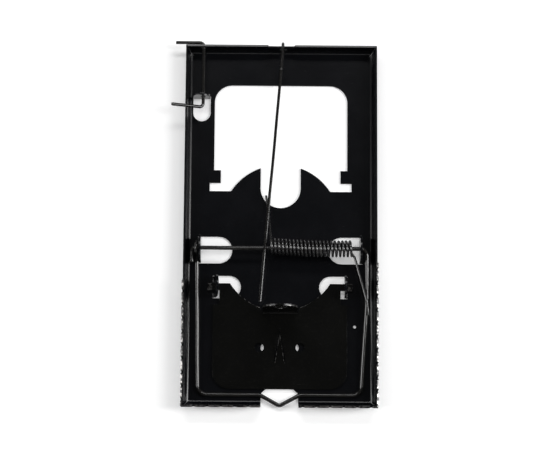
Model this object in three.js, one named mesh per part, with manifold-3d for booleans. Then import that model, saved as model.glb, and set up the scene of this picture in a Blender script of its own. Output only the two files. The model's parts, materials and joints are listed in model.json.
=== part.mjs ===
// Snap mouse trap made of one stamped sheet-steel base, a treadle stamped out of its window, and bent wires.
// Millimetres, +Z up, +Y towards the end that carries the lock rod. The origin is the middle of the underside.
import * as THREE from "three";
import { mergeVertices } from "three/addons/utils/BufferGeometryUtils.js";
import Module from "manifold-3d";

const wasm = await Module();
wasm.setup();

// ---- driving dimensions ----
const LENGTH = 120; // over the flanges' free edges
const WIDTH = 63.5;
const SHEET = 0.6; // sheet gauge
const GAP = 0.3; // between pieces that rest on or pass each other
const SIDE_GAP = 0.15; // between what turns side by side on the axle
const SHEAR = 0.15; // what a punched tongue loses on each side
const LUG_BEND = 0.5; // inside of the bend at the foot of a lug, a tab or the tongue

// flanges turned up along all four edges
const FLANGE_HEIGHT = 6;
const FLANGE_LEAN = THREE.MathUtils.degToRad(8);
const BEND_RADIUS = 1.2; // inside of the bend
const STUB = 1; // flat sheet that a fold's section starts with
const CORNER_SLIT = 0.08; // between the flanges that meet at a corner
const TOOTH_HEIGHT = 0.8;
const TOOTH_GAP = 1.5; // between crests
const TOOTH_PITCH = 4.4;
const TOOTH_FLARE = THREE.MathUtils.degToRad(22);
const TOOTHED_LEFT = 41; // length of the saw-toothed edge, from the treadle end
const TOOTHED_RIGHT = 47;
const MOUTH_WIDTH = 12.2; // gap in the treadle end's flange
const MOUTH_ROOT = 7.8; // width of the notch at its inner end
const MOUTH_TAPER = 2; // length over which the notch widens
const MOUTH_LAP = 0.6; // how far the notch runs in under the treadle

// wires
const STRIKER_WIRE = 1.35;
const SPRING_WIRE = 0.8;
const ROD_WIRE = 1.0;
const CATCH_WIRE = 1.1;

// striker, whose own wire is the axle
const AXLE_Y = -8.3;
const AXLE_LUG_LENGTH = 10.2;
const AXLE_LUG_WIDTH = 8.9;
const BAR_LANE = 3.35; // from the axle lug to the flange's bend
const CROSSBAR_INSET = 1.7; // from the end flange's bend
const CROSSBAR_RADIUS = 3.2;
const SHOULDER_RADIUS = 2.5;
const SHOULDER_PLAY = 1.05; // between the right lug and the right bar
const SHOULDER_LENGTH = 18.2; // of the right bar before it slants in
const BAR_SLANT = 1.75; // how far the right bar slants in
const BAR_SWEEP = 10; // radius of the right bar where it starts to slant
const LEFT_BAR_SLANT = 0.7;
const TIP_DEPTH = 3.5; // of the V in the crossbar
const TIP_WIDTH = 13;
const TIP_FOOT_RADIUS = 1.5;
const TIP_RADIUS = 1.0;
const EYE_TURN = THREE.MathUtils.degToRad(255); // of the left bar's open eye round the axle
const AXLE_TAIL = 4.8; // of the axle's end, turned down beside the eye
const AXLE_TAIL_BEND = 1.2;

// torsion spring
const COIL_RADIUS = 2.4; // to the middle of the wire
const COIL_TURNS = 21.5;
const COIL_PITCH = 1.23;
const COIL_START = -3.0; // left end of the coil along the axle
const COIL_PLAY = 0.34; // the loaded coil hangs off the axle, this far short of touching it
const COIL_LEAN = THREE.MathUtils.degToRad(24); // the side it hangs to, from straight up
const LEG_LEAVES = 0.46; // the angle, in radians from the coil's top, at which its legs leave it
const BASE_LEG_SETBACK = 2.15; // of the base leg's tip from the middle of the tongue's slot
const BASE_LEG_REACH = 3.4; // length of the base leg that lies on the sheet
const BASE_LEG_TIP = 1.8; // of its tip from the coil's left end
const BASE_LEG_FOOT = 1.6; // of its bend from the coil's left end
const BAR_LEG_BEND = 1.2;
const BAR_LEG_SWEEP = 3;
const BAR_LEG_LAP = 0.5; // how far the bar leg crosses either side of the bar's middle
const BAR_LEG_END = 4.3; // length of the bar leg beyond the bar
const BAR_LEG_FALL = 0.4; // of that end

// window, and the treadle that was cut from it
const WINDOW_HALF = 22.1;
const WINDOW_CORNER = 5.8;
const WINDOW_MARGIN = 4.6; // beyond the set striker's tip
const SHOULDER_Y = 11.45; // lower edge of the window's side wings
const WING_HALF = 23.5;
const WING_WIDTH = 2.75;
const NECK_HALF = 19.85;
const NECK_WIDTH = 4.3;
const ARC_RADIUS = 19.45;
const ARC_DROP = 10.45; // from the shoulder down to the arc's centre
const SLOT_HALF = 6.63;
const SLOT_DEPTH = 13.4; // of the tongue's slot below the arc

// treadle
const TREADLE_LUG_Y = -20.55;
const TREADLE_LUG_X = 21.05;
const TREADLE_LUG_LENGTH = 8.2;
const TREADLE_LUG_WIDTH = 7.4;
const TREADLE_LUG_LEAN = THREE.MathUtils.degToRad(9); // the left lug's, inwards
const EAR_WIDTH = 2.3;
const EAR_HALF = 23.8;
const TREADLE_CLEAR = 1.2; // between its free end and the crossbar
const TONGUE_HALF = 5.7;
const TONGUE_SETBACK = 1.05; // of the tongue's bend from the arc
const TONGUE_LEAN = THREE.MathUtils.degToRad(3);
const CATCH_HOLE = 2.0;
const CATCH_HEIGHT = 8.4;
const SPUR_LENGTH = 10.5;
const SPUR_WIDTH = 3.2;
const SPUR_FROM_END = 9.0;
const SPUR_RISE = THREE.MathUtils.degToRad(24);
const BAIT_HOLE = 3.0;
const BAIT_HOLE_X = 6.7;
const BAIT_HOLE_FROM_END = 13.6;
const BASE_HOLE_X = 4.75; // the hole below sits further in
const PILOT_HOLE = 1.0; // the press tool's locating hole beside the treadle
const PILOT_HOLE_X = 24.5;
const PILOT_HOLE_Y = -33.4;

// lock rod, hooked round a bridge in the end flange
const ROD_X = 0.5;
const ROD_SIDESTEP = 7.05; // sideways from its eye to its tip
const ROD_REACH = 18.7; // beyond the axle
const ROD_TAIL = 8.0; // of the hook's closed strand
const BRIDGE_HEIGHT = 1.4;
const ROD_NOTCH_DEPTH = 1.0;
const ROD_NOTCH_WIDTH = 10.3;
const ROD_HOLE_WIDTH = 2.6;

// safety catch, a wire turning in a tab and in the end flange
const CATCH_TAB_LENGTH = 7.5;
const CATCH_TAB_WIDTH = 5.8;
const CATCH_TAB_CLEAR = 2.6; // from the set striker's crossbar
const CATCH_INSET = 3.45; // of its shaft from the side flange's bend
const CATCH_TAB_OFFSET = 0.5; // of the tab's middle from the shaft
const CATCH_BEND = 1.3;
const CATCH_CRANK_BEND = 1.0;
const CATCH_ARM = 10.6;
const CATCH_OUTER_ARM = 9.1;
const CATCH_ARM_STEP = 3.6; // of the arm before the tab

// ---- what follows from them ----
const OUTER_BEND = BEND_RADIUS + SHEET;
const FLANGE_TURN = Math.PI / 2 - FLANGE_LEAN;
const BEND_TOP = OUTER_BEND * (1 - Math.cos(FLANGE_TURN));
const FLANGE_RUN = OUTER_BEND * Math.sin(FLANGE_TURN) + (FLANGE_HEIGHT - BEND_TOP) * Math.tan(FLANGE_LEAN);
const FLAT_X = WIDTH / 2 - FLANGE_RUN;
const FLAT_Y = LENGTH / 2 - FLANGE_RUN;

const AXLE_Z = AXLE_LUG_LENGTH - AXLE_LUG_WIDTH / 2;
const AXLE_LUG_X = FLAT_X - BAR_LANE;
const CROSSBAR_Y = -FLAT_Y + CROSSBAR_INSET;
const CROSSBAR_Z = SHEET + GAP + STRIKER_WIRE / 2;
const REACH = AXLE_Y - CROSSBAR_Y;
const SET_Y = AXLE_Y + REACH; // where the crossbar lies when the trap is set
const LEFT_BAR_X = -(AXLE_LUG_X + SHEET + SIDE_GAP + STRIKER_WIRE / 2);
const AXLE_TAIL_X = LEFT_BAR_X - STRIKER_WIRE - SIDE_GAP;
const RIGHT_BAR_X = AXLE_LUG_X + SHEET + SHOULDER_PLAY + STRIKER_WIRE / 2;
const STRIKER_EYE = STRIKER_WIRE + GAP;
const FOLD = SHEET + LUG_BEND; // from a lug's face back to the start of its bend

const WINDOW_TOP = SET_Y + TIP_DEPTH + WINDOW_MARGIN;
const WINDOW_ARC_Y = SHOULDER_Y - ARC_DROP;
const WINDOW_ARC_END = WINDOW_ARC_Y + Math.sqrt(ARC_RADIUS ** 2 - SLOT_HALF ** 2);
const SLOT_CENTRE_Y = WINDOW_ARC_END - SLOT_DEPTH + SLOT_HALF;

const TREADLE_Z = SHEET + GAP;
const TREADLE_TOP = TREADLE_LUG_Y + EAR_WIDTH / 2;
const TREADLE_END = CROSSBAR_Y + STRIKER_WIRE / 2 + TREADLE_CLEAR;
const TREADLE_ARC_Y = TREADLE_TOP + ARC_DROP;
const TREADLE_HALF = WINDOW_HALF - SHEAR;
const ARC_END_Y = TREADLE_ARC_Y - Math.sqrt(ARC_RADIUS ** 2 - SLOT_HALF ** 2);
const TONGUE_Y = ARC_END_Y - TONGUE_SETBACK;
const TONGUE_TOP = TREADLE_Z + SLOT_DEPTH + TONGUE_SETBACK;

const CATCH_X = -(FLAT_X - CATCH_INSET);
const CATCH_Z = CATCH_TAB_LENGTH - CATCH_TAB_WIDTH / 2;
const CATCH_TAB_Y = SET_Y + STRIKER_WIRE / 2 + CATCH_TAB_CLEAR;
const CATCH_HOLE_SIZE = CATCH_WIRE + 2 * GAP;

const BRIDGE_Z = FLANGE_HEIGHT - ROD_NOTCH_DEPTH - BRIDGE_HEIGHT / 2;
const EYE_RADIUS = Math.hypot(BRIDGE_HEIGHT, SHEET) / 2 + ROD_WIRE / 2 + GAP / 2;
const EYE_Y = LENGTH / 2 - (FLANGE_HEIGHT - BRIDGE_Z) * Math.tan(FLANGE_LEAN) - SHEET / 2;

const PUNCH_DEPTH = 4;

const X = new THREE.Vector3(1, 0, 0);
const Y = new THREE.Vector3(0, 1, 0);
const Z = new THREE.Vector3(0, 0, 1);
const v3 = (x, y, z) => new THREE.Vector3(x, y, z);

// ---- solids ----
function solid(geometry) {
  const bare = geometry.index ? geometry.toNonIndexed() : geometry.clone();
  bare.deleteAttribute("normal");
  bare.deleteAttribute("uv");
  const merged = mergeVertices(bare, 1e-4);
  return new wasm.Manifold(
    new wasm.Mesh({
      numProp: 3,
      vertProperties: merged.attributes.position.array,
      triVerts: new Uint32Array(merged.index.array),
    }),
  );
}

function mesh(name, body, material) {
  const made = body.getMesh();
  const geometry = new THREE.BufferGeometry();
  geometry.setAttribute("position", new THREE.BufferAttribute(made.vertProperties, 3));
  geometry.setIndex(new THREE.BufferAttribute(made.triVerts, 1));
  geometry.computeVertexNormals();
  const part = new THREE.Mesh(geometry, material);
  part.name = name;
  return part;
}

// A flat shape given thickness: right is the shape's own x, up its y, and it grows along right x up.
function plate(shape, thickness, right, up, from) {
  const growth = { depth: thickness, bevelEnabled: false, curveSegments: 10 };
  const geometry = new THREE.ExtrudeGeometry(shape, growth);
  const normal = right.clone().cross(up);
  geometry.applyMatrix4(new THREE.Matrix4().makeBasis(right, up, normal).setPosition(from));
  return solid(geometry);
}

// What a punch takes out of the flat, as deep below z = 0 as above it.
const punch = (shape, depth = PUNCH_DEPTH) => plate(shape, depth, X, Y, v3(0, 0, -depth / 2));

// Through the end flange, along Y.
const pierce = (shape) => plate(shape, 4 * BEND_RADIUS, X, Z, v3(0, LENGTH / 2 + BEND_RADIUS, 0));

function disc(x, y, radius) {
  return new THREE.Shape().absarc(x, y, radius, 0, 2 * Math.PI, false);
}

function polygon(points) {
  return new THREE.Shape(points.map(([x, y]) => new THREE.Vector2(x, y)));
}

// A rectangle whose far end is a half circle, from a straight edge at x = 0 to x = length.
function tongueShape(length, width) {
  const r = width / 2;
  const shape = new THREE.Shape();
  shape.moveTo(0, -r);
  shape.lineTo(length - r, -r);
  shape.absarc(length - r, 0, r, -Math.PI / 2, Math.PI / 2, false);
  shape.lineTo(0, r);
  return shape;
}

// ---- wires ----
class WirePath extends THREE.Curve {
  constructor(points) {
    super();
    this.points = points;
  }
  getPoint(t) {
    const at = t * (this.points.length - 1);
    const i = Math.min(Math.floor(at), this.points.length - 2);
    return this.points[i].clone().lerp(this.points[i + 1], at - i);
  }
  getPointAt(u) {
    return this.getPoint(u);
  }
  getTangentAt(u) {
    const i = Math.round(u * (this.points.length - 1));
    const before = this.points[Math.max(i - 1, 0)];
    const after = this.points[Math.min(i + 1, this.points.length - 1)];
    const here = this.points[i];
    const into = here.clone().sub(before).normalize();
    const out = after.clone().sub(here).normalize();
    return into.add(out).normalize();
  }
}

function wire(points, diameter, sides = 10) {
  const section = new THREE.Shape().absarc(0, 0, diameter / 2, 0, 2 * Math.PI, false);
  const geometry = new THREE.ExtrudeGeometry(section, {
    steps: points.length - 1,
    curveSegments: sides / 2,
    bevelEnabled: false,
    extrudePath: new WirePath(points),
  });
  return solid(geometry);
}

// The corners of a bent wire, each given the radius it carries, as points along the finished wire.
function bent(corners, steps = 6) {
  const points = [];
  corners.forEach(({ at, radius }, i) => {
    if (!radius) {
      points.push(at);
      return;
    }
    const into = at.clone().sub(corners[i - 1].at).normalize();
    const out = corners[i + 1].at.clone().sub(at).normalize();
    const turn = into.angleTo(out);
    const cut = radius * Math.tan(turn / 2);
    const start = at.clone().addScaledVector(into, -cut);
    const inward = out.clone().addScaledVector(into, -into.dot(out)).normalize();
    for (let k = 0; k <= steps; k++) {
      const a = (turn * k) / steps;
      const along = radius * Math.sin(a);
      const aside = radius * (1 - Math.cos(a));
      points.push(start.clone().addScaledVector(into, along).addScaledVector(inward, aside));
    }
  });
  return points;
}

// ---- folded sheet ----
// The section of a fold: a stub of flat, a bend through a turn, and a straight wall up to a height.
function foldPath(turn, radius, height) {
  const outer = radius + SHEET;
  const wall = new THREE.Vector2(Math.cos(turn), Math.sin(turn));
  const bendEnd = new THREE.Vector2(outer * Math.sin(turn), outer * (1 - Math.cos(turn)));
  const edge = bendEnd.clone().addScaledVector(wall, (height - bendEnd.y) / wall.y);
  const shape = new THREE.Shape();
  shape.moveTo(-STUB, 0);
  shape.lineTo(0, 0);
  shape.absarc(0, outer, outer, -Math.PI / 2, turn - Math.PI / 2, false);
  shape.lineTo(edge.x, edge.y);
  return { shape, edge, wall };
}

const inwards = (wall) => new THREE.Vector2(-wall.y, wall.x).multiplyScalar(SHEET);

function foldProfile(turn, radius, height, toothed = false) {
  const { shape, edge, wall } = foldPath(turn, radius, height);
  if (toothed) {
    const flare = new THREE.Vector2(Math.sin(TOOTH_FLARE), Math.cos(TOOTH_FLARE));
    const crest = edge.clone().addScaledVector(flare, TOOTH_HEIGHT);
    const back = crest.clone().add(inwards(flare));
    shape.lineTo(crest.x, crest.y);
    shape.lineTo(back.x, back.y);
  }
  const inner = edge.clone().add(inwards(wall));
  shape.lineTo(inner.x, inner.y);
  shape.absarc(0, radius + SHEET, radius, turn - Math.PI / 2, -Math.PI / 2, true);
  shape.lineTo(-STUB, SHEET);
  return shape;
}

// A lug folded up: facing is the way it pointed before it was folded, face where its near side now stands.
function lug({ facing, face, length, width, lean = 0, hole }) {
  const along = Z.clone().cross(facing);
  const across = width - 2 * SHEAR;
  const start = face.clone().addScaledVector(facing, -FOLD).addScaledVector(along, across / 2);
  const strip = plate(foldProfile(Math.PI / 2 - lean, LUG_BEND, length), across, facing, Z, start);
  const outline = tongueShape(length + STUB, across);
  outline.holes.push(hole(STUB));
  const ahead = face.clone().addScaledVector(facing, 2 * FOLD).addScaledVector(Z, -STUB);
  return strip.intersect(plate(outline, 4 * FOLD, Z, along, ahead));
}

// The hole that a lug leaves in the sheet, from the start of its bend to its rounded end.
function lugHole(facing, face, length, width) {
  const along = Z.clone().cross(facing);
  const start = face.clone().addScaledVector(facing, -FOLD).addScaledVector(Z, -PUNCH_DEPTH / 2);
  return plate(tongueShape(length + FOLD, width), PUNCH_DEPTH, facing, along, start);
}

// ---- base plate ----
// A flange along one edge: outward is the way it faces, from and to measure along outward x up.
function flange(outward, distance, from, to, toothed) {
  const along = outward.clone().cross(Z);
  const start = outward.clone().multiplyScalar(distance).addScaledVector(along, from);
  const profile = foldProfile(FLANGE_TURN, BEND_RADIUS, FLANGE_HEIGHT, toothed);
  let run = plate(profile, to - from, outward, Z, start);
  if (!toothed) return run;
  const valleys = Math.floor((to - from) / TOOTH_PITCH);
  for (let i = 0; i < valleys; i++) {
    const middle = start.clone().addScaledVector(along, TOOTH_PITCH * (i + 0.5));
    run = run.subtract(toothGap(outward, along, middle));
  }
  return run;
}

function toothGap(outward, along, middle) {
  const top = FLANGE_HEIGHT + 2 * TOOTH_HEIGHT;
  const shape = polygon([
    [0, FLANGE_HEIGHT],
    [TOOTH_GAP, top],
    [-TOOTH_GAP, top],
  ]);
  const depth = 3 * FLANGE_RUN;
  return plate(shape, depth, along.clone().negate(), Z, middle);
}

// Keeps a flange inside the two slits that run out from the corners of the flat.
function mitred(run, halfAcross, halfAlong, sign, sideways) {
  const within = 2 * STUB;
  const beyond = FLANGE_HEIGHT;
  const slit = CORNER_SLIT / Math.SQRT2;
  const inner = halfAlong - within - slit;
  const outer = halfAlong + beyond - slit;
  const corners = [
    [halfAcross - within, -inner],
    [halfAcross + beyond, -outer],
    [halfAcross + beyond, outer],
    [halfAcross - within, inner],
  ];
  const placed = corners.map(([a, b]) => (sideways ? [sign * a, sign * b] : [-sign * b, sign * a]));
  return run.intersect(punch(polygon(placed), 4 * FLANGE_HEIGHT));
}

function sideFlange(sign, toothedLength) {
  const outward = v3(sign, 0, 0);
  const split = -LENGTH / 2 + toothedLength;
  const ends = [
    [-LENGTH / 2, split, true],
    [split, LENGTH / 2, false],
  ];
  const runs = ends.map(([low, high, toothed]) => {
    const [from, to] = sign > 0 ? [-high, -low] : [low, high];
    return flange(outward, FLAT_X, from, to, toothed);
  });
  return mitred(runs[0].add(runs[1]), FLAT_X, FLAT_Y, sign, true);
}

function endFlange(sign) {
  const run = flange(v3(0, sign, 0), FLAT_Y, -WIDTH / 2, WIDTH / 2, sign < 0);
  return mitred(run, FLAT_Y, FLAT_X, sign, false);
}

function windowShape() {
  const corner = WINDOW_HALF - WINDOW_CORNER;
  const top = WINDOW_TOP - WINDOW_CORNER;
  const wingTop = SHOULDER_Y + WING_WIDTH;
  const neckTop = wingTop + NECK_WIDTH;
  const arcFrom = Math.asin(ARC_DROP / ARC_RADIUS);
  const arcTo = Math.acos(SLOT_HALF / ARC_RADIUS);
  const shape = new THREE.Shape();
  shape.moveTo(-corner, WINDOW_TOP);
  shape.absarc(-corner, top, WINDOW_CORNER, Math.PI / 2, Math.PI, false);
  shape.lineTo(-WINDOW_HALF, neckTop);
  shape.lineTo(-NECK_HALF, neckTop);
  shape.lineTo(-NECK_HALF, wingTop);
  shape.lineTo(-WING_HALF, wingTop);
  shape.lineTo(-WING_HALF, SHOULDER_Y);
  shape.absarc(0, WINDOW_ARC_Y, ARC_RADIUS, Math.PI - arcFrom, Math.PI - arcTo, true);
  shape.absarc(0, SLOT_CENTRE_Y, SLOT_HALF, Math.PI, 2 * Math.PI, false);
  shape.absarc(0, WINDOW_ARC_Y, ARC_RADIUS, arcTo, arcFrom, true);
  shape.lineTo(WING_HALF, SHOULDER_Y);
  shape.lineTo(WING_HALF, wingTop);
  shape.lineTo(NECK_HALF, wingTop);
  shape.lineTo(NECK_HALF, neckTop);
  shape.lineTo(WINDOW_HALF, neckTop);
  shape.absarc(corner, top, WINDOW_CORNER, 0, Math.PI / 2, false);
  return shape;
}

const roundHole = (height, aside, radius) => (stub) => disc(height + stub, aside, radius);

function axleLug(sign) {
  return {
    facing: v3(-sign, 0, 0),
    face: v3(sign * AXLE_LUG_X, AXLE_Y, 0),
    length: AXLE_LUG_LENGTH,
    width: AXLE_LUG_WIDTH,
    hole: roundHole(AXLE_Z, 0, STRIKER_WIRE / 2 + GAP),
  };
}

// The treadle's ears reach through a slot in each of its lugs.
function treadleLug(sign) {
  const half = EAR_WIDTH / 2 + GAP;
  const low = SHEET;
  const high = TREADLE_Z + 2 * SHEET + GAP;
  const slot = (stub) =>
    polygon([
      [low + stub, -half],
      [high + stub, -half],
      [high + stub, half],
      [low + stub, half],
    ]);
  return {
    facing: v3(-sign, 0, 0),
    face: v3(sign * TREADLE_LUG_X, TREADLE_LUG_Y, 0),
    length: TREADLE_LUG_LENGTH,
    width: TREADLE_LUG_WIDTH,
    lean: sign < 0 ? TREADLE_LUG_LEAN : 0,
    hole: slot,
  };
}

function catchTab() {
  return {
    facing: v3(0, -1, 0),
    face: v3(CATCH_X - CATCH_TAB_OFFSET, CATCH_TAB_Y, 0),
    length: CATCH_TAB_LENGTH,
    width: CATCH_TAB_WIDTH,
    hole: roundHole(CATCH_Z, CATCH_TAB_OFFSET, CATCH_HOLE_SIZE / 2),
  };
}

function rodNotch() {
  const half = ROD_NOTCH_WIDTH / 2;
  const low = FLANGE_HEIGHT - ROD_NOTCH_DEPTH;
  const shape = polygon([
    [-half, FLANGE_HEIGHT + 1],
    [-half + ROD_NOTCH_DEPTH, low],
    [half - ROD_NOTCH_DEPTH, low],
    [half, FLANGE_HEIGHT + 1],
  ]);
  return pierce(shape);
}

function rodHole() {
  const half = ROD_HOLE_WIDTH / 2;
  const top = BRIDGE_Z - BRIDGE_HEIGHT / 2;
  const bottom = BRIDGE_Z - EYE_RADIUS - ROD_WIRE / 2 - GAP;
  const shape = polygon([
    [ROD_X - half, bottom],
    [ROD_X + half, bottom],
    [ROD_X + half, top],
    [ROD_X - half, top],
  ]);
  return pierce(shape);
}

function mouth() {
  const notchEnd = TREADLE_END + MOUTH_LAP;
  const flare = notchEnd - MOUTH_TAPER;
  const far = -LENGTH / 2 - 2 * TOOTH_HEIGHT;
  const shape = polygon([
    [-MOUTH_ROOT / 2, notchEnd],
    [-MOUTH_WIDTH / 2, flare],
    [-MOUTH_WIDTH / 2, far],
    [MOUTH_WIDTH / 2, far],
    [MOUTH_WIDTH / 2, flare],
    [MOUTH_ROOT / 2, notchEnd],
  ]);
  return punch(shape, 4 * FLANGE_HEIGHT);
}

function basePlate(material) {
  const flat = polygon([
    [-FLAT_X, -FLAT_Y],
    [FLAT_X, -FLAT_Y],
    [FLAT_X, FLAT_Y],
    [-FLAT_X, FLAT_Y],
  ]);
  let body = plate(flat, SHEET, X, Y, v3(0, 0, 0));
  body = body.add(sideFlange(1, TOOTHED_RIGHT)).add(sideFlange(-1, TOOTHED_LEFT));
  body = body.add(endFlange(1)).add(endFlange(-1));
  body = body.subtract(punch(windowShape())).subtract(mouth());
  body = body.subtract(rodNotch()).subtract(rodHole());
  const shaftHole = disc(CATCH_X, CATCH_Z, CATCH_HOLE_SIZE / 2);
  body = body.subtract(pierce(shaftHole));
  const lugs = [catchTab(), axleLug(-1), axleLug(1), treadleLug(-1), treadleLug(1)];
  for (const { facing, face, length, width } of lugs)
    body = body.subtract(lugHole(facing, face, length, width));
  for (const sign of [-1, 1])
    body = body.subtract(punch(disc(sign * BASE_HOLE_X, TREADLE_END + BAIT_HOLE_FROM_END, BAIT_HOLE / 2)));
  body = body.subtract(punch(disc(PILOT_HOLE_X, PILOT_HOLE_Y, PILOT_HOLE / 2)));
  for (const form of lugs) body = body.add(lug(form));
  return mesh("base_plate", body, material);
}

// ---- treadle ----
function treadleShape() {
  const corner = TREADLE_HALF - WINDOW_CORNER;
  const low = TREADLE_END + WINDOW_CORNER;
  const neck = TREADLE_TOP - EAR_WIDTH;
  const flank = TREADLE_TOP - WING_WIDTH - NECK_WIDTH;
  const arcFrom = Math.asin(ARC_DROP / ARC_RADIUS);
  const arcTo = Math.acos(SLOT_HALF / ARC_RADIUS);
  const shape = new THREE.Shape();
  shape.moveTo(-EAR_HALF, TREADLE_TOP);
  shape.lineTo(-EAR_HALF, neck);
  shape.lineTo(-NECK_HALF, neck);
  shape.lineTo(-NECK_HALF, flank);
  shape.lineTo(-TREADLE_HALF, flank);
  shape.absarc(-corner, low, WINDOW_CORNER, Math.PI, 1.5 * Math.PI, false);
  shape.absarc(corner, low, WINDOW_CORNER, -Math.PI / 2, 0, false);
  shape.lineTo(TREADLE_HALF, flank);
  shape.lineTo(NECK_HALF, flank);
  shape.lineTo(NECK_HALF, neck);
  shape.lineTo(EAR_HALF, neck);
  shape.lineTo(EAR_HALF, TREADLE_TOP);
  shape.absarc(0, TREADLE_ARC_Y, ARC_RADIUS, -arcFrom, -arcTo, true);
  shape.lineTo(TONGUE_HALF, TONGUE_Y - FOLD);
  shape.lineTo(-TONGUE_HALF, TONGUE_Y - FOLD);
  shape.absarc(0, TREADLE_ARC_Y, ARC_RADIUS, arcTo - Math.PI, arcFrom - Math.PI, true);
  return shape;
}

function spurShape(grow) {
  const half = SPUR_WIDTH / 2 + grow;
  return polygon([
    [-half, 0],
    [half, 0],
    [0, SPUR_LENGTH + 2 * grow],
  ]);
}

function treadle(material) {
  const spurFoot = v3(0, TREADLE_END + SPUR_FROM_END, TREADLE_Z);
  const raised = v3(0, Math.cos(SPUR_RISE), Math.sin(SPUR_RISE));
  let body = plate(treadleShape(), SHEET, X, Y, v3(0, 0, TREADLE_Z));
  body = body.subtract(plate(spurShape(GAP), PUNCH_DEPTH, X, Y, spurFoot.clone().setZ(0)));
  for (const sign of [-1, 1]) {
    const baitHole = disc(sign * BAIT_HOLE_X, TREADLE_END + BAIT_HOLE_FROM_END, BAIT_HOLE / 2);
    body = body.subtract(punch(baitHole, 2 * PUNCH_DEPTH));
  }
  const root = spurFoot.clone().addScaledVector(Y, -SHEET * Math.cos(SPUR_RISE));
  body = body.add(plate(spurShape(0), SHEET, X, raised, root));
  const tongue = {
    facing: Y,
    face: v3(0, TONGUE_Y, 0),
    length: TONGUE_TOP - TREADLE_Z,
    width: 2 * (TONGUE_HALF + SHEAR),
    lean: TONGUE_LEAN,
    hole: roundHole(CATCH_HEIGHT, 0, CATCH_HOLE / 2),
  };
  return mesh("treadle", body.add(lug(tongue).translate([0, 0, TREADLE_Z])), material);
}

// ---- striker ----
function striker(material) {
  const fall = (AXLE_Z - CROSSBAR_Z) / REACH;
  const lie = (x, y) => v3(x, y, AXLE_Z - (AXLE_Y - y) * fall);
  const slope = Math.atan2(AXLE_Z - STRIKER_EYE - CROSSBAR_Z, REACH);
  const onEye = (a) =>
    v3(LEFT_BAR_X, AXLE_Y + STRIKER_EYE * Math.sin(a - slope), AXLE_Z - STRIKER_EYE * Math.cos(a - slope));
  const corners = [
    { at: v3(AXLE_TAIL_X, AXLE_Y - AXLE_TAIL, AXLE_Z) },
    { at: v3(AXLE_TAIL_X, AXLE_Y, AXLE_Z), radius: AXLE_TAIL_BEND },
    { at: v3(RIGHT_BAR_X, AXLE_Y, AXLE_Z), radius: SHOULDER_RADIUS },
    { at: lie(RIGHT_BAR_X, AXLE_Y - SHOULDER_LENGTH), radius: BAR_SWEEP },
    { at: lie(RIGHT_BAR_X - BAR_SLANT, CROSSBAR_Y), radius: CROSSBAR_RADIUS },
    { at: lie(TIP_WIDTH / 2, CROSSBAR_Y), radius: TIP_FOOT_RADIUS },
    { at: lie(0, CROSSBAR_Y - TIP_DEPTH), radius: TIP_RADIUS },
    { at: lie(-TIP_WIDTH / 2, CROSSBAR_Y), radius: TIP_FOOT_RADIUS },
    { at: lie(LEFT_BAR_X + LEFT_BAR_SLANT, CROSSBAR_Y), radius: CROSSBAR_RADIUS },
    { at: onEye(0) },
  ];
  const points = bent(corners);
  const steps = 16;
  for (let k = 1; k <= steps; k++) points.push(onEye((EYE_TURN * k) / steps));
  return mesh("striker", wire(points, STRIKER_WIRE), material);
}

// ---- torsion spring ----
const COIL_OFFSET = COIL_RADIUS - (SPRING_WIRE + STRIKER_WIRE) / 2 - COIL_PLAY;
const COIL_Y = AXLE_Y + COIL_OFFSET * Math.sin(COIL_LEAN);
const COIL_Z = AXLE_Z + COIL_OFFSET * Math.cos(COIL_LEAN);
const COIL_END = COIL_START + COIL_PITCH * COIL_TURNS;
const coilPoint = (x, a) => v3(x, COIL_Y + COIL_RADIUS * Math.sin(a), COIL_Z + COIL_RADIUS * Math.cos(a));

function springCoil(material) {
  const legTip = SLOT_CENTRE_Y - BASE_LEG_SETBACK;
  const points = [
    v3(COIL_START - BASE_LEG_TIP, legTip, SHEET + SPRING_WIRE / 2),
    v3(COIL_START - BASE_LEG_FOOT, legTip - BASE_LEG_REACH, SHEET + GAP + SPRING_WIRE),
  ];
  const perTurn = 12;
  const steps = Math.round(COIL_TURNS * perTurn);
  for (let k = 0; k <= steps; k++) {
    const a = LEG_LEAVES - (2 * Math.PI * k) / perTurn;
    points.push(coilPoint(COIL_START + (COIL_PITCH * k) / perTurn, a));
  }
  return mesh("spring_coil", wire(points, SPRING_WIRE, 6), material);
}

function springLeg(material) {
  const start = coilPoint(COIL_END + SPRING_WIRE + SIDE_GAP, LEG_LEAVES - 2 * Math.PI * COIL_TURNS);
  const onBar = AXLE_Y - SHOULDER_LENGTH + BAR_LEG_LAP;
  const fall = (AXLE_Z - CROSSBAR_Z) / REACH;
  const overBar = AXLE_Z - (AXLE_Y - onBar) * fall + (STRIKER_WIRE + SPRING_WIRE) / 2 + GAP;
  const points = bent([
    { at: start },
    { at: v3(start.x + SIDE_GAP, COIL_Y - COIL_RADIUS, COIL_Z - SIDE_GAP), radius: BAR_LEG_BEND },
    { at: v3(RIGHT_BAR_X - BAR_LEG_LAP, onBar, overBar), radius: BAR_LEG_SWEEP },
    { at: v3(RIGHT_BAR_X + BAR_LEG_LAP, onBar - BAR_LEG_END, overBar - BAR_LEG_FALL) },
  ]);
  return mesh("spring_striker_leg", wire(points, SPRING_WIRE, 8), material);
}

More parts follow.
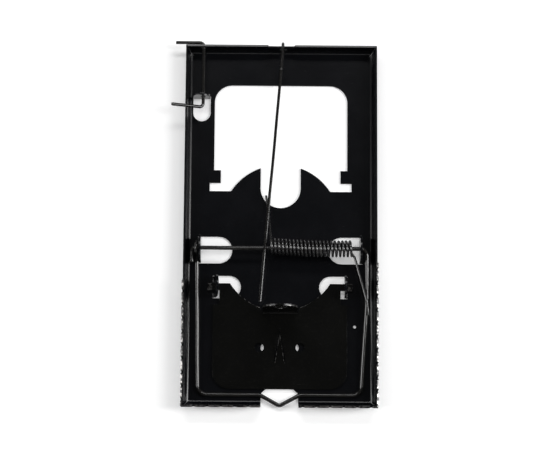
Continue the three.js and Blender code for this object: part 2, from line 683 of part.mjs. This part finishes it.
// ---- lock rod ----
function lockRod(material) {
  const rest = AXLE_Z + STRIKER_WIRE / 2 + GAP + ROD_WIRE / 2;
  const slope = Math.asin((rest - BRIDGE_Z + EYE_RADIUS) / (EYE_Y - AXLE_Y));
  const length = EYE_Y - AXLE_Y + ROD_REACH;
  const aside = ROD_SIDESTEP / length;
  const place = (y, z) => {
    const turned = new THREE.Vector2(y, z).rotateAround(new THREE.Vector2(0, 0), -slope);
    return v3(ROD_X + aside * Math.min(y, 0), EYE_Y + turned.x, BRIDGE_Z + turned.y);
  };
  const points = [place(-length, -EYE_RADIUS), place(0, -EYE_RADIUS)];
  const steps = 10;
  for (let k = 1; k <= steps; k++) {
    const a = (Math.PI * k) / steps;
    points.push(place(EYE_RADIUS * Math.sin(a), -EYE_RADIUS * Math.cos(a)));
  }
  points.push(place(-ROD_TAIL, EYE_RADIUS));
  return mesh("lock_rod", wire(points, ROD_WIRE), material);
}

// ---- safety catch ----
function safetyCatch(material) {
  const armY = CATCH_TAB_Y - CATCH_ARM_STEP;
  const flangeFace = LENGTH / 2 - (FLANGE_HEIGHT - CATCH_Z) * Math.tan(FLANGE_LEAN);
  const outerY = flangeFace + CATCH_CRANK_BEND + SIDE_GAP;
  const over = FLANGE_HEIGHT + GAP + CATCH_WIRE / 2 - CATCH_Z;
  const rise = over / (WIDTH / 2 + CATCH_X - SHEET);
  const points = bent([
    { at: v3(CATCH_X - CATCH_ARM, armY, CATCH_Z + CATCH_ARM * rise) },
    { at: v3(CATCH_X, armY, CATCH_Z), radius: CATCH_BEND },
    { at: v3(CATCH_X, outerY, CATCH_Z), radius: CATCH_CRANK_BEND },
    { at: v3(CATCH_X - CATCH_OUTER_ARM, outerY, CATCH_Z) },
  ]);
  return mesh("safety_catch", wire(points, CATCH_WIRE), material);
}

// ---- the trap ----
const paint = (color, roughness, metalness) => new THREE.MeshStandardMaterial({ color, roughness, metalness });
const enamel = paint(0x14151a, 0.45, 0.3);
const treadleEnamel = paint(0x131312, 0.5, 0.3);
const blackWire = paint(0x101010, 0.3, 0.6);
const springSteel = paint(0x15140f, 0.28, 0.7);

const trap = new THREE.Group();
trap.name = "snap_mouse_trap";
trap.add(basePlate(enamel), treadle(treadleEnamel), striker(blackWire));
trap.add(springCoil(springSteel), springLeg(springSteel), lockRod(blackWire), safetyCatch(blackWire));
export default trap;
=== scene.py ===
"""Snap mouse trap: formed sheet base and treadle, and four wires, finished in black enamel and oil-black.

Sizes are in metres. The wires' routes hang on the hinges of the frame, so each piece sits where its
body turns.
"""
import json
import math

import bmesh
import bpy
import numpy as np
from mathutils import Matrix, Vector


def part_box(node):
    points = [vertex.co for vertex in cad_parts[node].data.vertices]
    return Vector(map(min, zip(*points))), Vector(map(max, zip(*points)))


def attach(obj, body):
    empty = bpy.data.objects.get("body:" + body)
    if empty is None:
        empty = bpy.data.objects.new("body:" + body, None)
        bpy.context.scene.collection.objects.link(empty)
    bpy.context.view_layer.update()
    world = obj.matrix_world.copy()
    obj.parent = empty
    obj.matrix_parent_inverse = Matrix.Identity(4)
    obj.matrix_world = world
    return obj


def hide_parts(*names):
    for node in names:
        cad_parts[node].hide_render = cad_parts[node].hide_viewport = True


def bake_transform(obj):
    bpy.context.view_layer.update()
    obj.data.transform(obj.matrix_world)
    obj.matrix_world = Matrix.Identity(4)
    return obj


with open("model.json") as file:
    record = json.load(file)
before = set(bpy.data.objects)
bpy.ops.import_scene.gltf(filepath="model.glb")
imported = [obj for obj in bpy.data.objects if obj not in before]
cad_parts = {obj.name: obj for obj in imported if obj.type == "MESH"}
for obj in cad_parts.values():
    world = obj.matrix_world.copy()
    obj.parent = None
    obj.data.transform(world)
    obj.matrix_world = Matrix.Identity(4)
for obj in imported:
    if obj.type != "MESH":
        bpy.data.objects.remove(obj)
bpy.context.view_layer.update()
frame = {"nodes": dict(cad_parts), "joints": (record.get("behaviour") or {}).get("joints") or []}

MM = 0.001
TURN = 2 * math.pi

# ---- where the pieces turn, from the frame ----
HINGES = {joint["name"]: np.array(joint["pos_m"]) for joint in frame["joints"]}
AXLE = HINGES["striker_swing"]
BRIDGE = HINGES["lock_rod_swing"]
CATCH = HINGES["safety_catch_swing"]

# ---- wires ----
STRIKER_WIRE = 1.35 * MM
SPRING_WIRE = 0.8 * MM
ROD_WIRE = 1.0 * MM
CATCH_WIRE = 1.1 * MM
SHEET = 0.6 * MM

rng = np.random.default_rng(7)


def box_of(node):
    """The lowest and highest corners of a CAD node, as arrays."""
    low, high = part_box(node)
    return np.array(low), np.array(high)


# ---- surfaces ----
CORNER_STEPS = 14
FADE_SHARE = 0.06
BURR = 0.12
PAST_BEVEL = 1.5


def unit(vectors):
    """Each row divided by its own length."""
    return vectors / np.linalg.norm(vectors, axis=-1, keepdims=True)


def surface(name, points, faces, uv=None, smooth=True):
    """A mesh object at the origin from vertices, faces, and a UV for each vertex if one is given."""
    mesh = bpy.data.meshes.new(name)
    mesh.from_pydata(points.tolist(), [], faces)
    if uv is not None:
        corner = np.zeros(len(mesh.loops), np.int32)
        mesh.loops.foreach_get("vertex_index", corner)
        layer = mesh.uv_layers.new(name="along")
        layer.data.foreach_set("uv", uv[corner].ravel())
    mesh.polygons.foreach_set("use_smooth", np.full(len(mesh.polygons), smooth))
    mesh.update()
    piece = bpy.data.objects.new(name, mesh)
    bpy.context.scene.collection.objects.link(piece)
    return piece


def tube_faces(stations, sides):
    """Quads between neighbouring rings of a tube whose rings close on themselves, and a fan on each end."""
    ring, step = np.meshgrid(np.arange(stations - 1), np.arange(sides), indexing="ij")
    here = ring * sides + step
    beside = ring * sides + (step + 1) % sides
    quads = np.stack([here, beside, beside + sides, here + sides], -1).reshape(-1, 4)
    around = np.arange(sides)
    after = (around + 1) % sides
    first = np.stack([after, around, np.full(sides, stations * sides)], -1)
    last_ring = (stations - 1) * sides
    last = np.stack([around + last_ring, after + last_ring, np.full(sides, stations * sides + 1)], -1)
    return quads.tolist() + first.tolist() + last.tolist()


def length_along(path):
    """The distance run from the first point to each point of a path."""
    steps = np.linalg.norm(np.diff(path, axis=0), axis=1)
    return np.concatenate([[0.0], np.cumsum(steps)])


def evenly(path, spacing):
    """The same path with its points one spacing apart."""
    run = length_along(path)
    stops = np.linspace(0, run[-1], max(int(run[-1] / spacing), 2) + 1)
    return np.stack([np.interp(stops, run, path[:, axis]) for axis in range(3)], -1)


def rounded(corners, radii):
    """A path through corners, each replaced by the arc of its own radius that is tangent to both sides."""
    corners = np.array(corners, float)
    pieces = [corners[:1]]
    for before, corner, after, radius in zip(corners, corners[1:], corners[2:], radii):
        into = unit(corner - before)
        out = unit(after - corner)
        turn = math.acos(np.clip(into @ out, -1, 1))
        inward = unit(out - (into @ out) * into)
        start = corner - into * radius * math.tan(turn / 2)
        angle = np.linspace(0, turn, CORNER_STEPS)[:, None]
        pieces.append(start + radius * (np.sin(angle) * into + (1 - np.cos(angle)) * inward))
    pieces.append(corners[-1:])
    return np.concatenate(pieces)


def waver(path, amount, wavelength):
    """The small bow and kink that a bent wire keeps: three slow sine waves, nil at both ends of the path."""
    run = length_along(path)
    share = run / run[-1]
    fade = np.minimum(share, 1 - share).clip(0, FADE_SHARE) / FADE_SHARE
    phases = rng.uniform(0, TURN, (3, 3))
    waves = [np.sin(TURN * run[:, None] / (wavelength * (k + 1)) + phases[k]) for k in range(3)]
    return path + amount * fade[:, None] * sum(waves) / 3


def wire(name, path, gauge, guide, sides=18):
    """A round wire along a path: centre + r (cos a * n + sin a * b).

    n is across the path and the guide, and b is across the path and n. Each cropped end has a chamfer of
    the burr's share of the gauge, and closes in one pole.
    """
    radius = gauge / 2
    tangent = unit(np.gradient(path, axis=0))
    across = unit(np.cross(tangent, guide))
    other = np.cross(tangent, across)
    bevel = BURR * radius * 2
    inset_start = path[0] + tangent[0] * bevel
    inset_end = path[-1] - tangent[-1] * bevel
    run = length_along(path)
    keep = (run > bevel * PAST_BEVEL) & (run < run[-1] - bevel * PAST_BEVEL)
    centres = np.concatenate([[path[0], inset_start], path[keep], [inset_end, path[-1]]])
    ends = np.concatenate([[0, 0], np.flatnonzero(keep), [-1, -1]])
    radii = np.full(len(centres), radius)
    radii[[0, -1]] = radius - bevel
    angle = np.linspace(0, TURN, sides, endpoint=False)
    turn = angle[None, :, None]
    ring = np.cos(turn) * across[ends][:, None] + np.sin(turn) * other[ends][:, None]
    points = centres[:, None] + radii[:, None, None] * ring
    uv_run = np.repeat(length_along(centres)[:, None], sides, 1)
    uv_turn = np.repeat(angle[None] * radius, len(centres), 0)
    uv = np.stack([uv_run, uv_turn], -1).reshape(-1, 2)
    uv = np.concatenate([uv, [[0, 0], [uv_run[-1, 0], 0]]])
    vertices = np.concatenate([points.reshape(-1, 3), centres[:1], centres[-1:]])
    return surface(name, vertices, tube_faces(len(centres), sides), uv)


# ---- formed sheet ----
MERGE_WITHIN = 0.002 * MM
FLAT_WITHIN = math.radians(0.6)
SHARP_BEYOND = math.radians(35)
BASE_EDGE = 0.11 * MM
TREADLE_EDGE = 0.12 * MM


def formed_sheet(node, edge):
    """A copy of a stamped CAD piece, its flat facets merged and its sheared edges rounded."""
    piece = frame["nodes"][node].copy()
    piece.data = piece.data.copy()
    piece.name = node + "_formed"
    piece.parent = None
    for key in list(piece.keys()):
        del piece[key]
    bpy.context.scene.collection.objects.link(piece)
    work = bmesh.new()
    work.from_mesh(piece.data)
    bmesh.ops.remove_doubles(work, verts=work.verts, dist=MERGE_WITHIN)
    bmesh.ops.dissolve_limit(work, angle_limit=FLAT_WITHIN, verts=work.verts, edges=work.edges)
    bmesh.ops.triangulate(work, faces=[f for f in work.faces if len(f.verts) > 4])
    for face in work.faces:
        face.smooth = True
    work.to_mesh(piece.data)
    work.free()
    piece.data.materials.clear()
    bevel = piece.modifiers.new("sheared edge", "BEVEL")
    bevel.width = edge
    bevel.segments = 2
    bevel.limit_method = "ANGLE"
    bevel.angle_limit = SHARP_BEYOND
    flats = piece.modifiers.new("flat faces", "WEIGHTED_NORMAL")
    flats.weight = 100
    return piece


# ---- shader maths ----
class Field:
    """A number that changes over a surface. Each operator adds the Math node of its name."""

    def __init__(self, finish, socket):
        self.finish = finish
        self.socket = socket

    def maths(self, operation, *operands):
        made = self.finish.node("ShaderNodeMath", {"operation": operation}, dict(enumerate(operands)))
        return Field(self.finish, made.outputs[0])

    def __add__(self, other):
        return self.maths("ADD", self, other)

    def __sub__(self, other):
        return self.maths("SUBTRACT", self, other)

    def __rsub__(self, other):
        return self.maths("SUBTRACT", other, self)

    def __mul__(self, other):
        return self.maths("MULTIPLY", self, other)

    def __abs__(self):
        return self.maths("ABSOLUTE", self)

    __radd__ = __add__
    __rmul__ = __mul__

    def step(self, low, high):
        """0 below low, 1 above high, and a smooth rise between."""
        settings = {"interpolation_type": "SMOOTHSTEP", "clamp": True}
        sockets = {"Value": self, "From Min": low, "From Max": high}
        made = self.finish.node("ShaderNodeMapRange", settings, sockets)
        return Field(self.finish, made.outputs[0])

    def near(self, value, reach):
        """1 at a value, falling to 0 at a reach either side."""
        return 1 - abs(self - value).step(0, reach)


class Finish:
    """A material built round one Principled shader."""

    def __init__(self, name, **constants):
        self.material = bpy.data.materials.new(name)
        self.material.use_nodes = True
        self.tree = self.material.node_tree
        self.shader = self.tree.nodes["Principled BSDF"]
        for socket, value in constants.items():
            self.shader.inputs[socket.replace("_", " ")].default_value = value
        self.coordinates = self.node("ShaderNodeTexCoord")
        split = self.node("ShaderNodeSeparateXYZ", {}, {0: self.coordinates.outputs["Object"]})
        self.x, self.y, self.z = [Field(self, output) for output in split.outputs]

    def node(self, kind, settings=None, sockets=None):
        """Adds a node: its settings first, then the values or links of its sockets."""
        made = self.tree.nodes.new(kind)
        for key, value in (settings or {}).items():
            setattr(made, key, value)
        for key, value in (sockets or {}).items():
            self.join(made.inputs[key], value)
        return made

    def join(self, socket, value):
        if isinstance(value, Field):
            value = value.socket
        if isinstance(value, bpy.types.NodeSocket):
            self.tree.links.new(value, socket)
        else:
            socket.default_value = value

    def noise(self, size, detail=2.0, roughness=0.5, stretch=(1, 1, 1), source="Object"):
        """Noise whose grains are a size across, drawn out along any axis by its share of stretch."""
        scale = [1 / (size * s) for s in stretch]
        placed = self.node("ShaderNodeMapping", {}, {0: self.coordinates.outputs[source], "Scale": scale})
        sockets = {"Vector": placed.outputs[0], "Scale": 1.0, "Detail": detail, "Roughness": roughness}
        made = self.node("ShaderNodeTexNoise", {}, sockets)
        return Field(self, made.outputs[0])

    def mix(self, share, first, second):
        """A colour between two colours."""
        made = self.node("ShaderNodeMix", {"data_type": "RGBA"}, {0: share, 6: first, 7: second})
        return made.outputs[2]

    def set(self, **sockets):
        for socket, value in sockets.items():
            self.join(self.shader.inputs[socket.replace("_", " ")], value)

    def bump(self, height, depth):
        made = self.node("ShaderNodeBump", {}, {"Strength": 1.0, "Distance": depth, "Height": height})
        self.join(self.shader.inputs["Normal"], made.outputs[0])

def linear(red, green, blue):
    return (red, green, blue, 1.0)


BLUE_BLACK = linear(0.0011, 0.0013, 0.0022)
THIN_BLUE_BLACK = linear(0.0022, 0.0026, 0.0042)
OLIVE_BLACK = linear(0.0010, 0.0010, 0.0007)
THIN_OLIVE_BLACK = linear(0.0019, 0.0019, 0.0014)
DRAWN_BLACK = linear(0.005, 0.005, 0.0056)
SPRING_BLACK = linear(0.013, 0.0136, 0.0155)
BROWNED = linear(0.012, 0.011, 0.0095)
BARE_STEEL = linear(0.32, 0.31, 0.30)
DUST = linear(0.02, 0.019, 0.0175)

# ---- where the enamel is rubbed, and where highlights are painted on the treadle ----
TOOTH_ROOT = 6.3 * MM
TOOTH_CREST = 6.7 * MM
RIM_FROM = 2.2 * MM
RIM_TO = 1.8 * MM
SPUR_HALF = 1.6 * MM
SPUR_FOOT = 9.0 * MM
SPUR_REACH = 9.6 * MM
TREADLE_FACE = 1.5 * MM
EDGE_BAND = 0.3 * MM
EAR_FROM = 22.1 * MM
ARC_RADIUS = 19.45 * MM
ARC_CENTRE = 45.07 * MM
ARC_BAND = 0.17 * MM
# strengths of the painted highlights on the treadle's spur, arc and ears
SPUR_HIGHLIGHT = 1.5
ARC_HIGHLIGHT = 0.8
EAR_HIGHLIGHT = 0.3


def tooth_crests(finish):
    """The rims of the flanges above the roots of their teeth."""
    high = box_of("base_plate")[1]
    beside = abs(finish.x).step(high[0] - RIM_FROM, high[0] - RIM_TO)
    beyond = abs(finish.y).step(high[1] - RIM_FROM, high[1] - RIM_TO)
    return finish.z.step(TOOTH_ROOT, TOOTH_CREST) * (beside + beyond)


def treadle_painted_highlights(finish):
    """Painted highlights in bare steel on the treadle's sheared arc, the edges of its spur, and its ears.

    On the arc the squares of x and of y less the centre's add up to the square of the radius. The spur's
    two edges close in on its middle.
    """
    foot = box_of("treadle")[0][1] + SPUR_FOOT
    across = abs(finish.x) + (finish.y - foot) * (SPUR_HALF / SPUR_REACH)
    spur = across.near(SPUR_HALF, EDGE_BAND) * finish.z.step(TREADLE_FACE, TREADLE_FACE + EDGE_BAND)
    aside = finish.y - (box_of("treadle")[0][1] + ARC_CENTRE)
    squared = finish.x * finish.x + aside * aside
    arc = squared.near(ARC_RADIUS**2, 2 * ARC_RADIUS * ARC_BAND)
    ears = abs(finish.x).step(EAR_FROM, EAR_FROM + EDGE_BAND)
    # bare-steel painted highlights along the spur, the arc and the ears
    return spur * SPUR_HIGHLIGHT + arc * ARC_HIGHLIGHT + ears * EAR_HIGHLIGHT


# ---- finishes: shares of the second colour, and depths of the relief ----
ENAMEL_GLOSS = 0.4
ENAMEL_ROUGHNESS = 0.2
BLOOM_SHARE = 0.3
SPECK_SHARE = 0.25
SCUFF_SHARE = 0.12
# bare steel shares for the rubbed tooth crests and for the treadle's painted highlights
STEEL_WEAR_AND_HIGHLIGHT = 0.75
METAL_WEAR_AND_HIGHLIGHT = 0.8
PEEL_DEPTH = 0.009 * MM
DRAWN_DEPTH = 0.006 * MM


def enamel(name, deep, thin, wear_and_highlight_at):
    """Baked black enamel: orange peel, a greyer bloom, dust specks, and bare steel where its edges rub on
    the base and as painted highlights on the treadle's edges.
    """
    finish = Finish(name, Specular_IOR_Level=ENAMEL_GLOSS)
    peel = finish.noise(0.55 * MM, detail=3.0, roughness=0.6)
    grain = finish.noise(0.12 * MM, detail=2.0)
    bloom = finish.noise(14 * MM, detail=4.0, roughness=0.62).step(0.38, 0.68)
    rolling = finish.noise(0.4 * MM, detail=2.0, stretch=(1, 30, 1))
    specks = finish.noise(0.33 * MM, detail=0.0).step(0.735, 0.76)
    scuffs = finish.noise(1.1 * MM, detail=5.0, roughness=0.75, stretch=(6, 0.5, 1)).step(0.66, 0.73)
    # bare steel: real rubbing on the base's tooth crests, painted highlights on the treadle's edges
    wear_and_highlight = wear_and_highlight_at(finish) * finish.noise(0.9 * MM, detail=4.0).step(0.44, 0.6)
    painted = finish.mix(bloom * BLOOM_SHARE, deep, thin)
    dusty = finish.mix(specks * SPECK_SHARE, painted, DUST)
    scuffed = finish.mix(scuffs * SCUFF_SHARE, dusty, DUST)
    finish.set(Base_Color=finish.mix(wear_and_highlight * STEEL_WEAR_AND_HIGHLIGHT, scuffed, BARE_STEEL))
    finish.set(Metallic=wear_and_highlight * METAL_WEAR_AND_HIGHLIGHT)
    finish.set(Roughness=ENAMEL_ROUGHNESS + bloom * 0.02 + grain * 0.04 + scuffs * 0.1)
    finish.bump(peel * 0.7 + grain * 0.12 + rolling * 0.25, PEEL_DEPTH)
    return finish.material


def oil_black(name, tone, roughness, rub, gloss):
    """Drawn steel wire, oil-blackened: fine lines along it, and a thin steel sheen where it is handled."""
    finish = Finish(name, Specular_IOR_Level=gloss)
    lines = finish.noise(0.09 * MM, detail=2.0, stretch=(60, 1, 1), source="UV")
    patches = finish.noise(3.5 * MM, detail=4.0, roughness=0.6)
    pits = finish.noise(0.25 * MM, detail=1.0).step(0.68, 0.74)
    worn = patches.step(0.52, 0.75) * lines.step(0.35, 0.7)
    dark = finish.mix(patches, tone, BROWNED)
    finish.set(Base_Color=finish.mix(worn * rub, dark, BARE_STEEL))
    finish.set(Metallic=worn * rub)
    finish.set(Roughness=roughness + lines * 0.06 + pits * 0.15)
    finish.bump(lines * 0.8 - pits * 0.6, DRAWN_DEPTH)
    return finish.material


def dress(piece, body, slot, material, *nodes):
    """Puts a finished piece on its body, in place of its CAD nodes. Its slot is not used."""
    piece.data.materials.append(material)
    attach(piece, body)
    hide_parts(*nodes)
    return piece


# ---- striker ----
BAR_SWEEP = 12 * MM
TIP_FOOT_RADIUS = 1.6 * MM
TIP_RADIUS = 1.1 * MM
CROSSBAR_REACH = 47.6 * MM
CROSSBAR_CLEAR = 0.3 * MM
CROSSBAR_RADIUS = 3.2 * MM
SHOULDER_RADIUS = 2.5 * MM
SHOULDER_LENGTH = 18.2 * MM
BAR_SLANT = 1.75 * MM
LEFT_BAR_SLANT = 0.7 * MM
TIP_DEPTH = 3.5 * MM
TIP_HALF = 6.5 * MM
TAIL_BEND = 1.2 * MM
TAIL_LENGTH = 4.8 * MM
EYE_CLEAR = 0.3 * MM
EYE_TURN = math.radians(262)
TAIL_CLEAR = 0.15 * MM
EYE_STEPS = 40
STRIKER_SPACING = 0.28 * MM
STRIKER_WAVER = 0.05 * MM
STRIKER_WAVE = 19 * MM


def striker_route():
    """The turned-down tail, axle, right bar, crossbar with its V, left bar, and the eye round the axle."""
    low, high = box_of("striker")
    radius = STRIKER_WIRE / 2
    cross_y = AXLE[1] - CROSSBAR_REACH
    cross_z = SHEET + CROSSBAR_CLEAR + radius
    right = high[0] - radius
    tail = low[0] + radius
    left = tail + STRIKER_WIRE + TAIL_CLEAR
    eye = STRIKER_WIRE + EYE_CLEAR

    def lie(x, y):
        return (x, y, AXLE[2] + (y - AXLE[1]) * (AXLE[2] - cross_z) / CROSSBAR_REACH)

    slope = math.atan2(AXLE[2] - eye - cross_z, CROSSBAR_REACH)
    angle = np.linspace(0, EYE_TURN, EYE_STEPS) - slope
    ring = np.stack([left + 0 * angle, AXLE[1] + eye * np.sin(angle), AXLE[2] - eye * np.cos(angle)], -1)
    corners = [
        (tail, AXLE[1] - TAIL_LENGTH, AXLE[2]),
        (tail, AXLE[1], AXLE[2]),
        (right, AXLE[1], AXLE[2]),
        lie(right, AXLE[1] - SHOULDER_LENGTH),
        lie(right - BAR_SLANT, cross_y),
        lie(TIP_HALF, cross_y),
        lie(0, cross_y - TIP_DEPTH),
        lie(-TIP_HALF, cross_y),
        lie(left + LEFT_BAR_SLANT, cross_y),
        ring[0],
    ]
    tip = [TIP_FOOT_RADIUS, TIP_RADIUS, TIP_FOOT_RADIUS]
    radii = [TAIL_BEND, SHOULDER_RADIUS, BAR_SWEEP, CROSSBAR_RADIUS, *tip, CROSSBAR_RADIUS]
    return np.concatenate([rounded(corners, radii), ring[1:]])


# ---- torsion spring ----
COIL_RADIUS = 2.4 * MM
COIL_PITCH = 1.23 * MM
COIL_TURNS = 21.5
TURN_STEPS = 40
COIL_LIFT = 0.9 * MM
COIL_SHIFT = 0.55 * MM
COIL_SAG = 0.7 * MM
COIL_DROOP = 0.4 * MM
LEG_LEAVES = 0.46
LEG_LIFT = 0.12 * MM
BASE_LEG_REACH = 3.4 * MM
BASE_LEG_RISE = 0.2 * MM
BAR_LEG_INSIDE = 2.4
BAR_LEG_REACH = 5.0 * MM
BAR_LEG_RISE = 1.3 * MM
LEAVING = np.array([0.9, -1.2, 0.2]) * MM
SPRING_SPACING = 0.22 * MM
SPRING_SIDES = 14


def spring_route():
    """Leg on the base, helix bowed along the axle, leg over the right bar.

    The helix is pitch a / turn along the axle, with R cos a and R sin a across it.
    """
    low, high = box_of("spring_coil")
    leg_low, leg_high = box_of("spring_striker_leg")
    radius = SPRING_WIRE / 2
    coil_start = high[0] - radius - COIL_PITCH * COIL_TURNS
    angle = np.arange(0, COIL_TURNS * TURN, TURN / TURN_STEPS)
    along = angle / (COIL_TURNS * TURN)
    turned = LEG_LEAVES - angle
    droop = COIL_DROOP * np.sin(math.pi * along)
    coil = np.stack(
        [
            coil_start + COIL_PITCH * angle / TURN,
            AXLE[1] + COIL_SHIFT - COIL_SAG * along - droop + COIL_RADIUS * np.sin(turned),
            AXLE[2] + COIL_LIFT + COIL_RADIUS * np.cos(turned),
        ],
        -1,
    )
    base_leg = [
        (low[0] + radius, high[1] - radius, SHEET + radius),
        (low[0] + 2 * radius, high[1] - BASE_LEG_REACH, SHEET + radius + BASE_LEG_RISE),
    ]
    bar_leg = [
        (leg_high[0] - BAR_LEG_INSIDE * radius, leg_low[1] + BAR_LEG_REACH, leg_low[2] + BAR_LEG_RISE),
        (leg_high[0] - radius, leg_low[1] + radius, leg_low[2] + radius + LEG_LIFT),
    ]
    return np.concatenate([base_leg, coil, [coil[-1] + LEAVING], bar_leg])


# ---- lock rod ----
ROD_STEP = 7.05 * MM
ROD_TAIL = 8.0 * MM
EYE_RADIUS = 1.41 * MM
ROD_CLEAR = 0.3 * MM
ROD_EYE_STEPS = 20
ROD_SPACING = 0.3 * MM
ROD_WAVER = 0.06 * MM
ROD_WAVE = 27 * MM


def rod_route():
    """Tip, straight run over the axle, and the eye back round the bridge, tilted as one about the bridge."""
    low = box_of("lock_rod")[0]
    length = BRIDGE[1] - low[1] - ROD_WIRE / 2
    drop = AXLE[2] + (STRIKER_WIRE + ROD_WIRE) / 2 + ROD_CLEAR - BRIDGE[2] + EYE_RADIUS
    slope = math.asin(drop / (BRIDGE[1] - AXLE[1]))
    angle = np.linspace(0, math.pi, ROD_EYE_STEPS)
    flat_y = np.concatenate([[-length], EYE_RADIUS * np.sin(angle), [-ROD_TAIL]])
    flat_z = np.concatenate([[-EYE_RADIUS], -EYE_RADIUS * np.cos(angle), [EYE_RADIUS]])
    x = BRIDGE[0] + ROD_STEP / length * np.minimum(flat_y, 0)
    y = BRIDGE[1] + flat_y * math.cos(slope) + flat_z * math.sin(slope)
    z = BRIDGE[2] - flat_y * math.sin(slope) + flat_z * math.cos(slope)
    return np.stack([x, y, z], -1)


# ---- safety catch ----
CATCH_BEND = 1.3 * MM
CRANK_SHORT = 0.14
CATCH_SPACING = 0.2 * MM


def catch_route():
    """Arm over the left flange, shaft through the tab and the end flange, and the crank outside it."""
    low, high = box_of("safety_catch")
    radius = CATCH_WIRE / 2
    arm_y = low[1] + radius
    outer_y = high[1] - radius
    crank = low[0] + (CATCH[0] - low[0]) * CRANK_SHORT
    corners = [
        (low[0] + radius, arm_y, high[2] - radius),
        (CATCH[0], arm_y, CATCH[2]),
        (CATCH[0], outer_y, CATCH[2]),
        (crank, outer_y, CATCH[2]),
    ]
    return rounded(corners, [CATCH_BEND, CATCH_BEND])


# ---- floor, lights and camera ----
FLOOR_HALF = 3.0
FLOOR_DROP = 0.05 * MM
FLOOR_GLOW = 0.25
SKY_GLOW = 0.045
# each soft box: where it hangs, its two sides, and its power
SOFT_BOXES = {
    "left box": ((-1.1, -0.05, 0.78), (0.4, 1.1), 8.0),
    "right box": ((1.1, 0.05, 0.82), (0.4, 1.1), 15.0),
    "far box": ((0.0, 0.76, 1.05), (1.1, 0.2), 6.0),
    "near box": ((0.1, -1.2, 0.7), (1.1, 0.2), 1.3),
}


def studio():
    """A pale floor under the trap, a soft box on each of its four sides, and a dim sky."""
    corners = np.array([[-1, -1, 0], [1, -1, 0], [1, 1, 0], [-1, 1, 0]]) * FLOOR_HALF
    floor = surface("floor", corners - [0, 0, FLOOR_DROP], [[0, 1, 2, 3]], smooth=False)
    pale = Finish("pale floor", Roughness=0.9, Specular_IOR_Level=0.1, Emission_Strength=FLOOR_GLOW)
    pale.set(Emission_Color=linear(1.0, 1.0, 1.0))
    cloud = pale.noise(60 * MM, detail=3.0)
    pale.set(Base_Color=pale.mix(cloud, linear(0.93, 0.93, 0.93), linear(0.96, 0.96, 0.96)))
    floor.data.materials.append(pale.material)
    for name, (place, size, power) in SOFT_BOXES.items():
        lamp(name, place, size, power)
    world = bpy.data.worlds.new("studio")
    world.use_nodes = True
    sky = world.node_tree.nodes["Background"]
    sky.inputs[0].default_value = linear(0.95, 0.97, 1.0)
    sky.inputs[1].default_value = SKY_GLOW
    bpy.context.scene.world = world
    bpy.context.scene.view_settings.view_transform = "Standard"


def lamp(name, place, size, power):
    light = bpy.data.lights.new(name, "AREA")
    light.shape = "RECTANGLE"
    light.size, light.size_y = size
    light.energy = power
    holder = bpy.data.objects.new(name, light)
    holder.rotation_euler = Vector(place).to_track_quat("Z", "Y").to_euler()
    holder.location = place
    bpy.context.scene.collection.objects.link(holder)


CAMERA_DISTANCE = 603.5 * MM
CAMERA_TILT = math.radians(9.32)
CAMERA_LEAN = math.radians(0.31)
CAMERA_ROLL = math.radians(0.39)
CAMERA_AIM = (-1.78 * MM, 0.31 * MM, 0.0)
LENS = 119.5
CLIP_START = 10 * MM


def camera():
    """Nearly overhead: tilt and lean set where it stands, and roll turns it about its line of sight."""
    away = unit(np.array([-math.tan(CAMERA_LEAN), -math.tan(CAMERA_TILT), 1.0]))
    level = unit(np.cross([0, 1, 0], away))
    above = np.cross(away, level)
    right = level * math.cos(CAMERA_ROLL) + above * math.sin(CAMERA_ROLL)
    up = above * math.cos(CAMERA_ROLL) - level * math.sin(CAMERA_ROLL)
    place = np.array(CAMERA_AIM) + CAMERA_DISTANCE * away
    data = bpy.data.cameras.new("camera")
    data.lens = LENS
    data.clip_start = CLIP_START
    holder = bpy.data.objects.new("camera", data)
    turned = np.eye(4)
    turned[:3, :3] = np.stack([right, up, away], 1)
    turned[:3, 3] = place
    holder.matrix_world = Matrix(turned.tolist())
    bpy.context.scene.collection.objects.link(holder)
    bpy.context.scene.camera = holder


# ---- the trap ----
def build():
    base_black = enamel("base enamel", BLUE_BLACK, THIN_BLUE_BLACK, tooth_crests)
    # the treadle's enamel carries painted highlights along its edges
    treadle_black = enamel("treadle enamel", OLIVE_BLACK, THIN_OLIVE_BLACK, treadle_painted_highlights)
    wire_black = oil_black("black wire", DRAWN_BLACK, 0.11, 0.05, gloss=0.62)
    spring_black = oil_black("spring wire", SPRING_BLACK, 0.19, 0.2, gloss=1.0)

    dress(formed_sheet("base_plate", BASE_EDGE), "base", "base_enamel", base_black, "base_plate")
    dress(formed_sheet("treadle", TREADLE_EDGE), "treadle", "treadle_enamel", treadle_black, "treadle")

    bar = waver(evenly(striker_route(), STRIKER_SPACING), STRIKER_WAVER, STRIKER_WAVE)
    striker = wire("striker_wire", bar, STRIKER_WIRE, (1, 0, 1))
    dress(striker, "striker", "black_wire", wire_black, "striker")

    rod = waver(evenly(rod_route(), ROD_SPACING), ROD_WAVER, ROD_WAVE)
    dress(wire("lock_rod_wire", rod, ROD_WIRE, (1, 0, 0)), "lock_rod", "black_wire", wire_black, "lock_rod")

    bent = evenly(catch_route(), CATCH_SPACING)
    catch = wire("catch_wire", bent, CATCH_WIRE, (0, 0, 1))
    dress(catch, "safety_catch", "black_wire", wire_black, "safety_catch")

    route = evenly(spring_route(), SPRING_SPACING)
    spring = wire("torsion_spring", route, SPRING_WIRE, (1, 0, 0), sides=SPRING_SIDES)
    spring.data.materials.append(spring_black)
    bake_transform(spring)
    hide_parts("spring_coil", "spring_striker_leg")


build()
studio()
camera()
